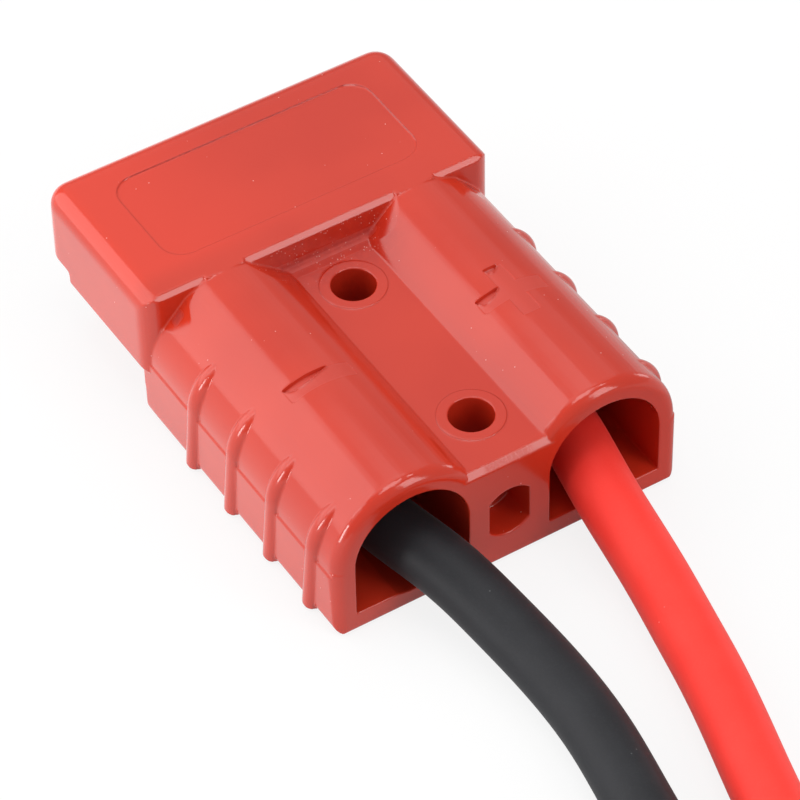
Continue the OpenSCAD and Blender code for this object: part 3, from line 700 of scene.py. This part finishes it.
def pole_marks(look):
    """Carving of the + and - marks, and of the ribs: points inside a mark's outline go down a little.

    Along the front edge of the arm that faces -X the mark is gouged deeper, in a lens with a fine burr
    round it. The lens's width at a share t of its length is the greatest width times the sine of half
    a turn times t to the power of skew, so that it is widest near its outer end. The + has a short
    gouge at its front end as well.
    """
    half_w = look.mark_width / MM / 2.0
    half_l = look.mark_length / MM / 2.0
    round_r = 0.35
    wall = look.cell / MM
    gouge_w = 0.8
    short_w = 0.6
    minus_l = 4.5
    short_l = half_w + 0.5
    skew = 0.6
    burr_w = 0.16
    burr_h = 0.07
    top_z = PLATE_Z / MM + 1.0
    deep = look.mark_deep / MM
    shallow = look.mark_shallow / MM

    def lens(dx, behind, start, length, width, burr=0.0):
        """1 inside a lens whose straight side runs from start along X at behind = 0, grown by the burr."""
        t = np.clip((dx - start) / length, 0.0, 1.0)
        reach = width * np.sin(math.pi * t**skew)
        cut = smooth_step(behind, -burr - wall / 2.0, -burr + wall / 2.0)
        cut = cut * smooth_step(behind, reach + burr + wall / 2.0, reach + burr - wall / 2.0)
        return np.where(reach > wall / 4.0, cut, 0.0)

    def gouge(*place):
        """How far a gouge goes down: its lens is deep, and its rim stands up as a fine burr."""
        inside = lens(*place)
        return inside * deep - np.maximum(lens(*place, burr_w) - inside, 0.0) * burr_h

    def carve(points):
        x, y, z = full_ribs(points).T
        across = y - MARK_Y / MM
        on_top = z > top_z
        for side in (-1.0, 1.0):
            dx = x - side * BARREL_X / MM
            bar = box_distance(dx, across, half_l - round_r, half_w - round_r)
            cut = gouge(dx, half_w - across, -half_l, minus_l, gouge_w)
            if side > 0:
                bar = np.minimum(bar, box_distance(dx, across, half_w - round_r, half_l - round_r))
                cut = gouge(dx, half_w - across, -half_l, half_l - half_w, gouge_w)
                cut = cut + gouge(dx, half_l - across, -half_w, short_l, short_w)
            inside = smooth_step(bar - round_r, wall / 2.0, -wall / 2.0)
            z = z - np.where(on_top, np.where(cut == 0.0, inside * shallow, cut), 0.0)
        return np.stack([x, y, z], axis=-1)

    return carve


# Operators: one for each piece or group of like pieces

class CONNECTOR_OT_studio(bpy.types.Operator):
    """Floor, soft light and the camera"""

    bl_idname = "connector.studio"
    bl_label = "Studio"

    EYE = Vector((-145.74, -245.50, 291.15)) * MM
    AIM = Vector((-1.72, -9.64, 7.675)) * MM
    ROLL = math.radians(-1.265)
    FLOOR_DROP = 0.05 * MM
    FLOOR_HALF = 1.5
    WHITE_SHARE = 0.84
    DIM_FLOOR = (0.33, 0.33, 0.33)
    RIGHT_FLOOR = (0.66, 0.66, 0.66)
    BRIGHT_FLOOR = (1.25, 1.25, 1.25)
    # Where the floor turns brighter in reflections: shares of x and y, and where the change starts and ends
    RIGHT_WAY = (0.9, 0.4)
    RIGHT_SPAN = (17.0 * MM, 30.0 * MM)
    BRIGHT_WAY = (-0.8, 0.6)
    BRIGHT_SPAN = (-40.0 * MM, 30.0 * MM)
    # Each lamp: name, azimuth from +X and elevation, angles it spans across and upwards, brightness
    LAMPS = (
        ("left_bank", 138.0, 29.5, 54.0, 55.0, 1.82),
        ("key_lamp", 184.0, 8.0, 28.0, 16.0, 1.2),
        ("key_bulb", 181.0, 10.0, 10.0, 22.0, 11.0),
        ("upper_key", 174.0, 38.0, 28.0, 18.0, 1.0),
        ("front_bank", 62.0, 46.0, 50.0, 36.0, 0.37),
        ("zenith_bank", 100.0, 68.0, 46.0, 22.0, 0.95),
        ("overhead_lamp", 250.0, 84.0, 26.0, 26.0, 3.4),
        ("brow_bulb", -14.0, 66.0, 8.0, 7.0, 6.0),
        ("rear_strip", -65.0, 34.0, 20.0, 40.0, 3.7),
        ("right_strip", 12.0, 4.0, 14.0, 22.0, 2.6),
    )
    LAMP_DISTANCE = 0.6

    def execute(self, context):
        look = context.scene.connector_studio
        self.make_floor(look)
        self.make_light(context.scene, look)
        self.make_camera(context.scene, look)
        context.scene.view_settings.view_transform = "Standard"
        return {"FINISHED"}

    def make_floor(self, look):
        """Pale floor: diffuse for light, nearly white to the camera, with a faint shadow.

        In reflections it is brightest towards the front left, where the large bank stands, and dimmest
        behind the object.
        """
        half = self.FLOOR_HALF
        low = -self.FLOOR_DROP
        mesh = bpy.data.meshes.new("floor")
        mesh.from_pydata([(-half, -half, low), (half, -half, low), (half, half, low), (-half, half, low)],
                         [], [(0, 1, 2, 3)])
        floor = bpy.data.objects.new("floor", mesh)
        bpy.context.scene.collection.objects.link(floor)
        material = bpy.data.materials.new("pale_floor")
        material.use_nodes = True
        tree = material.node_tree
        tree.nodes.remove(tree.nodes["Principled BSDF"])
        wire = Wire(tree)
        shade = wire.node("ShaderNodeBsdfDiffuse", None, {"Color": (*look.floor, 1.0)})
        x, y, _ = wire.node("ShaderNodeTexCoord", output=3).parts()
        to_right = x * self.RIGHT_WAY[0] + y * self.RIGHT_WAY[1]
        to_bright = x * self.BRIGHT_WAY[0] + y * self.BRIGHT_WAY[1]
        right = to_right.step(*self.RIGHT_SPAN).blend(self.DIM_FLOOR, self.RIGHT_FLOOR)
        mirrored = to_bright.step(*self.BRIGHT_SPAN).blend(right, self.BRIGHT_FLOOR)
        camera_ray = wire.node("ShaderNodeLightPath", output=0)
        shown = camera_ray.blend(mirrored, (1.0, 1.0, 1.0))
        glow = wire.node("ShaderNodeEmission", None, {"Color": shown})
        white = seen_ray(wire) * self.WHITE_SHARE
        mixed = wire.node("ShaderNodeMixShader", None, {0: white, 1: shade, 2: glow})
        tree.links.new(mixed.socket, tree.nodes["Material Output"].inputs["Surface"])
        mesh.materials.append(material)

    def make_light(self, scene, look):
        """Soft banks round the object, and an even world that is white to the camera only."""
        far = self.LAMP_DISTANCE
        for name, azimuth, elevation, across, upwards, brightness in self.LAMPS:
            lamp = bpy.data.lights.new(name, "AREA")
            lamp.shape = "RECTANGLE"
            lamp.size = 2.0 * far * math.tan(math.radians(across) / 2.0)
            lamp.size_y = 2.0 * far * math.tan(math.radians(upwards) / 2.0)
            lamp.energy = math.pi * lamp.size * lamp.size_y * brightness
            turn = Euler((math.radians(90.0 - elevation), 0.0, math.radians(90.0 + azimuth)))
            obj = bpy.data.objects.new(name, lamp)
            obj.matrix_world = turn.to_matrix().to_4x4() @ Matrix.Translation((0.0, 0.0, far))
            scene.collection.objects.link(obj)
        world = bpy.data.worlds.new("studio")
        world.use_nodes = True
        scene.world = world
        tree = world.node_tree
        wire = Wire(tree)
        camera_ray = wire.node("ShaderNodeLightPath", output=0)
        strength = look.ambient + camera_ray * (1.0 - look.ambient)
        background = tree.nodes["Background"]
        background.inputs["Color"].default_value = (1.0, 1.0, 1.0, 1.0)
        wire.join(background.inputs["Strength"], strength)

    def make_camera(self, scene, look):
        """Camera at the photograph's viewing angle."""
        data = bpy.data.cameras.new("camera")
        data.lens = look.lens
        data.sensor_width = 36.0
        data.clip_start = 0.01
        data.clip_end = 10.0
        camera = bpy.data.objects.new("camera", data)
        aim = (self.AIM - self.EYE).to_track_quat("-Z", "Y").to_matrix().to_4x4()
        camera.matrix_world = Matrix.Translation(self.EYE) @ aim @ Matrix.Rotation(self.ROLL, 4, "Z")
        scene.collection.objects.link(camera)
        scene.camera = camera


def seen_ray(wire):
    """1 on rays from the camera, in reflections and through glass, else 0."""
    camera_ray = wire.node("ShaderNodeLightPath", output=0)
    glossy_ray = wire.node("ShaderNodeLightPath", output=3)
    clear_ray = wire.node("ShaderNodeLightPath", output=6)
    return camera_ray.most(glossy_ray).most(clear_ray)


class CONNECTOR_OT_leads(bpy.types.Operator):
    """The two silicone leads, from the contacts to the lugs"""

    bl_idname = "connector.leads"
    bl_label = "Leads"

    RING_GAP = 0.7 * MM
    SIDES_ROUND = 56
    END_ROUND = 0.35 * MM

    def execute(self, context):
        look = context.scene.connector_leads
        colours = {
            "black": (tuple(look.black), (0.036, 0.037, 0.042)),
            "red": (tuple(look.red), (1.0, 0.08, 0.06)),
        }
        for side, facts in SIDES.items():
            tone = facts["tint"]
            material = silicone(f"{tone}_silicone", *colours[tone], look.matte)
            self.make_lead(side, facts, look.diameter, material)
        return {"FINISHED"}

    def make_lead(self, side, facts, diameter, material):
        """Tube of even diameter along the route, its two cut ends slightly rounded."""
        line, along = smooth_line(laid(facts["route"]), self.RING_GAP)
        to_end = np.minimum(along, along[-1] - along)
        radius = diameter / 2.0 - self.END_ROUND * (1.0 - smooth_step(to_end, 0.0, 2.0 * self.END_ROUND))
        mesh = closed_tube(f"lead_{side}", swept(line, radius, self.SIDES_ROUND), along)
        lead = piece(f"lead_{side}", mesh, material, f"lead_{facts['tint']}", f"cable_{side}")
        exit_point = laid(facts["route"])[3]
        lead["length"] = float(along[-1])
        facts["lead"] = lead
        facts["line"] = line
        facts["exit"] = exit_point
        facts["diameter"] = diameter


class CONNECTOR_OT_housing(bpy.types.Operator):
    """The moulded housing with its pole marks"""

    bl_idname = "connector.housing"
    bl_label = "Housing"

    BUDGET = 190000

    def execute(self, context):
        look = context.scene.connector_housing
        mesh = softened("housing", look.cell, look.softening, self.BUDGET,
                        softer=(look.head_softening, head_edges), carve=pole_marks(look))
        piece("housing_moulding", mesh, moulded_red(look), "housing", "housing")
        return {"FINISHED"}


class CONNECTOR_OT_contacts(bpy.types.Operator):
    """Silvered contacts on their leaf springs"""

    bl_idname = "connector.contacts"
    bl_label = "Contacts and springs"

    BUDGET = 30000
    BLADE_PASSES = 3
    LEAF_PASSES = 1

    def execute(self, context):
        look = context.scene.connector_fittings
        silver = plated("silver_plate", tuple(look.silver), 0.26, (1.0, 0.12, 1.0), 0.5)
        steel = plated("spring_steel", tuple(look.steel), 0.30, (0.1, 1.0, 1.0), 0.3)
        for side in SIDES:
            blade = softened(f"contact_{side}", SMALL_CELL, self.BLADE_PASSES, self.BUDGET)
            piece(f"contact_{side}_blade", blade, silver, "contact", f"contact_{side}")
            leaf = softened(f"spring_{side}", LEAF_CELL, self.LEAF_PASSES, self.BUDGET)
            piece(f"spring_{side}_leaf", leaf, steel, "spring", f"spring_{side}")
        return {"FINISHED"}


class CONNECTOR_OT_lead_ends(bpy.types.Operator):
    """Bare strands, ring lugs and shrunk sleeves at the ends of the leads"""

    bl_idname = "connector.lead_ends"
    bl_label = "Lead ends"

    BUDGET = 30000
    LUG_PASSES = 4
    STRAND_RINGS = (0, 6, 12)
    STRAND_SIDES = 10
    STRAND_ROWS = 14
    STRAND_LAY = 42.0 * MM
    STRAND_FILL = 0.98
    CONDUCTOR_D = 4.2 * MM
    CRIMPED_L = 12.2 * MM
    IN_LUG_L = 8.9 * MM
    END_GAP = 0.02 * MM
    SLEEVE_BACK = 10.5 * MM
    SLEEVE_AHEAD = 10.5 * MM
    SLEEVE_ROUND = 56
    SLEEVE_ROWS = 90
    LIP_TURNS = np.radians(np.linspace(-90.0, 90.0, 9)[1:-1])
    LUG_R = 3.1 * MM
    LEAD_SLACK = 0.12 * MM
    LUG_SLACK = 0.02 * MM
    TAPER = (-4.0 * MM, 0.4 * MM)
    WAIST_DEEP = 0.12 * MM
    WAIST_AT = 0.2 * MM
    WAIST_LONG = 0.8 * MM

    def execute(self, context):
        look = context.scene.connector_fittings
        tin = plated("tin_plate", tuple(look.tin), 0.30, (0.5, 0.5, 1.0), 0.6)
        copper = plated("bare_copper", tuple(look.copper), 0.32, (1.0, 0.2, 1.0), 0.5)
        tubes = {
            "black": shrunk_tube("black_shrunk_tube", tuple(look.sleeve_black)),
            "red": shrunk_tube("red_shrunk_tube", tuple(look.sleeve_red)),
        }
        for side, facts in SIDES.items():
            lug = softened(f"lug_{side}", SMALL_CELL, self.LUG_PASSES, self.BUDGET)
            lug = piece(f"lug_{side}_ring", lug, tin, "lug", f"lug_{side}")
            ends = self.strands(side, facts)
            ends = piece(f"strands_{side}", ends, copper, "conductor", f"conductor_{side}")
            tube = self.sleeve(side, facts, look.sleeve_wall)
            tube = piece(f"sleeve_{side}_tube", tube, tubes[facts["tint"]], f"sleeve_{facts['tint']}",
                         f"sleeve_{side}")
            facts["ends"] = [lug, ends, tube]
        return {"FINISHED"}

    def strands(self, side, facts):
        """Two bundles of twisted strands, one in the contact's barrel and one in the lug.

        Strand k of a layer lies at the layer's radius, turned by its share of the circle plus a twist
        that grows with the distance along the bundle.
        """
        line = facts["line"]
        strand_r = self.CONDUCTOR_D / 2.0 / (2 * len(self.STRAND_RINGS) - 1)
        bundles = ((line[0], np.array((0.0, 1.0, 0.0)), self.CRIMPED_L),
                   (line[-1], self.heading_at_end(facts), self.IN_LUG_L))
        points = []
        faces = []
        for start, heading, length in bundles:
            side_way = np.cross(heading, (0.0, 0.0, 1.0))
            up = np.cross(side_way, heading)
            along = np.linspace(self.END_GAP, length, self.STRAND_ROWS)
            for layer, count in enumerate(self.STRAND_RINGS):
                for k in range(max(1, count)):
                    turn = 2.0 * math.pi * (k / max(1, count) + along / self.STRAND_LAY)
                    wheel = np.cos(turn)[:, None] * side_way + np.sin(turn)[:, None] * up
                    middle = start + along[:, None] * heading + 2.0 * strand_r * layer * wheel
                    rings = swept(middle, self.STRAND_FILL * strand_r, self.STRAND_SIDES)
                    base = sum(len(p) for p in points)
                    rows = self.STRAND_ROWS
                    n = self.STRAND_SIDES
                    faces += (grid_faces(rows, n) + base).tolist()
                    faces.append([base + i for i in range(n)])
                    faces.append([base + rows * n - 1 - i for i in range(n)])
                    points.append(rings.reshape(-1, 3))
        mesh = bpy.data.meshes.new(f"strands_{side}")
        mesh.from_pydata(np.concatenate(points).tolist(), [], faces)
        outwards(mesh)
        return mesh

    def heading_at_end(self, facts):
        """Level direction in which a lead's last stretch points."""
        last = laid(facts["route"])[-2:]
        way = last[1] - last[0]
        return way / np.linalg.norm(way)

    def sleeve(self, side, facts, wall):
        """Closed tube over a lead's end and its lug's barrel, drawn in at the lead and at the step.

        Its outline runs forward along the outside, round the front lip, back along the inside and
        round the rear lip; the outside narrows over the lead and has a soft waist at its cut end.
        """
        heading = self.heading_at_end(facts)
        end = laid(facts["route"])[-1]
        lead_r = facts["diameter"] / 2.0
        along = np.linspace(-self.SLEEVE_BACK, self.SLEEVE_AHEAD, self.SLEEVE_ROWS)
        on_lead = lead_r + self.LEAD_SLACK
        on_lug = self.LUG_R + self.LUG_SLACK
        snug = on_lead + (on_lug - on_lead) * smooth_step(along, *self.TAPER)
        waist = self.WAIST_DEEP * np.exp(-((along - self.WAIST_AT) / self.WAIST_LONG) ** 2)
        outer = snug + wall - waist
        half = wall / 2.0
        front = self.LIP_TURNS[::-1]
        back = self.LIP_TURNS
        radius = np.concatenate([outer, outer[-1] - half + half * np.sin(front),
                                 (outer - wall)[::-1], outer[0] - half + half * np.sin(back)])
        place = np.concatenate([along, along[-1] + half * np.cos(front),
                                along[::-1], along[0] - half * np.cos(back)])
        turn = np.arange(self.SLEEVE_ROUND) * 2.0 * math.pi / self.SLEEVE_ROUND
        side_way = np.cross(heading, (0.0, 0.0, 1.0))
        up = np.cross(side_way, heading)
        wheel = np.cos(turn)[:, None] * side_way + np.sin(turn)[:, None] * up
        rings = end + place[:, None, None] * heading + radius[:, None, None] * wheel[None]
        rings = np.concatenate([rings, rings[:1]])
        mesh = closed_tube(f"sleeve_{side}", rings, np.concatenate([place, place[:1]]), cap=False)
        work = bmesh.new()
        work.from_mesh(mesh)
        bmesh.ops.remove_doubles(work, verts=work.verts, dist=0.0005 * MM)
        bmesh.ops.recalc_face_normals(work, faces=work.faces)
        work.to_mesh(mesh)
        work.free()
        return mesh


class CONNECTOR_OT_tie(bpy.types.Operator):
    """The tie round the folded leads"""

    bl_idname = "connector.tie"
    bl_label = "Cable tie"

    BUDGET = 40000
    PASSES = 3

    def execute(self, context):
        look = context.scene.connector_fittings
        mesh = softened("cable_tie", SMALL_CELL, self.PASSES, self.BUDGET)
        tie = piece("cable_tie_strap", mesh, moulded_nylon(tuple(look.nylon)), "tie", "cable_tie")
        SIDES["negative"]["ends"].append(tie)
        return {"FINISHED"}


class CONNECTOR_OT_declare(bpy.types.Operator):
    """A step that does nothing."""

    bl_idname = "connector.declare"
    bl_label = "Declare leads"

    def execute(self, context):
        return {"FINISHED"}


class CONNECTOR_PT_panel(bpy.types.Panel):
    """Pieces of the connector and their looks"""

    bl_label = "Connector"
    bl_space_type = "VIEW_3D"
    bl_region_type = "UI"
    bl_category = "Connector"

    def draw(self, context):
        for name in LOOKS:
            box = self.layout.box()
            look = getattr(context.scene, name)
            for field in look.bl_rna.properties:
                if field.identifier not in ("rna_type", "name"):
                    box.prop(look, field.identifier)
        for operator in STEPS:
            self.layout.operator(operator.bl_idname)


LOOKS = {
    "connector_housing": HousingLook,
    "connector_leads": LeadLook,
    "connector_fittings": FittingLook,
    "connector_studio": StudioLook,
}
STEPS = (CONNECTOR_OT_studio, CONNECTOR_OT_leads, CONNECTOR_OT_housing, CONNECTOR_OT_contacts,
         CONNECTOR_OT_lead_ends, CONNECTOR_OT_tie, CONNECTOR_OT_declare)
CLASSES = (*LOOKS.values(), *STEPS, CONNECTOR_PT_panel)


def register():
    """Register the classes and hang the looks on the scene."""
    for cls in CLASSES:
        bpy.utils.register_class(cls)
    for name, cls in LOOKS.items():
        setattr(bpy.types.Scene, name, PointerProperty(type=cls))


def unregister():
    """Take the looks off the scene and unregister the classes."""
    for name in LOOKS:
        delattr(bpy.types.Scene, name)
    for cls in reversed(CLASSES):
        bpy.utils.unregister_class(cls)


def main():
    """Make every piece in order."""
    register()
    bpy.ops.connector.studio()
    bpy.ops.connector.leads()
    bpy.ops.connector.housing()
    bpy.ops.connector.contacts()
    bpy.ops.connector.lead_ends()
    bpy.ops.connector.tie()
    bpy.ops.connector.declare()


if __name__ == "__main__":
    main()
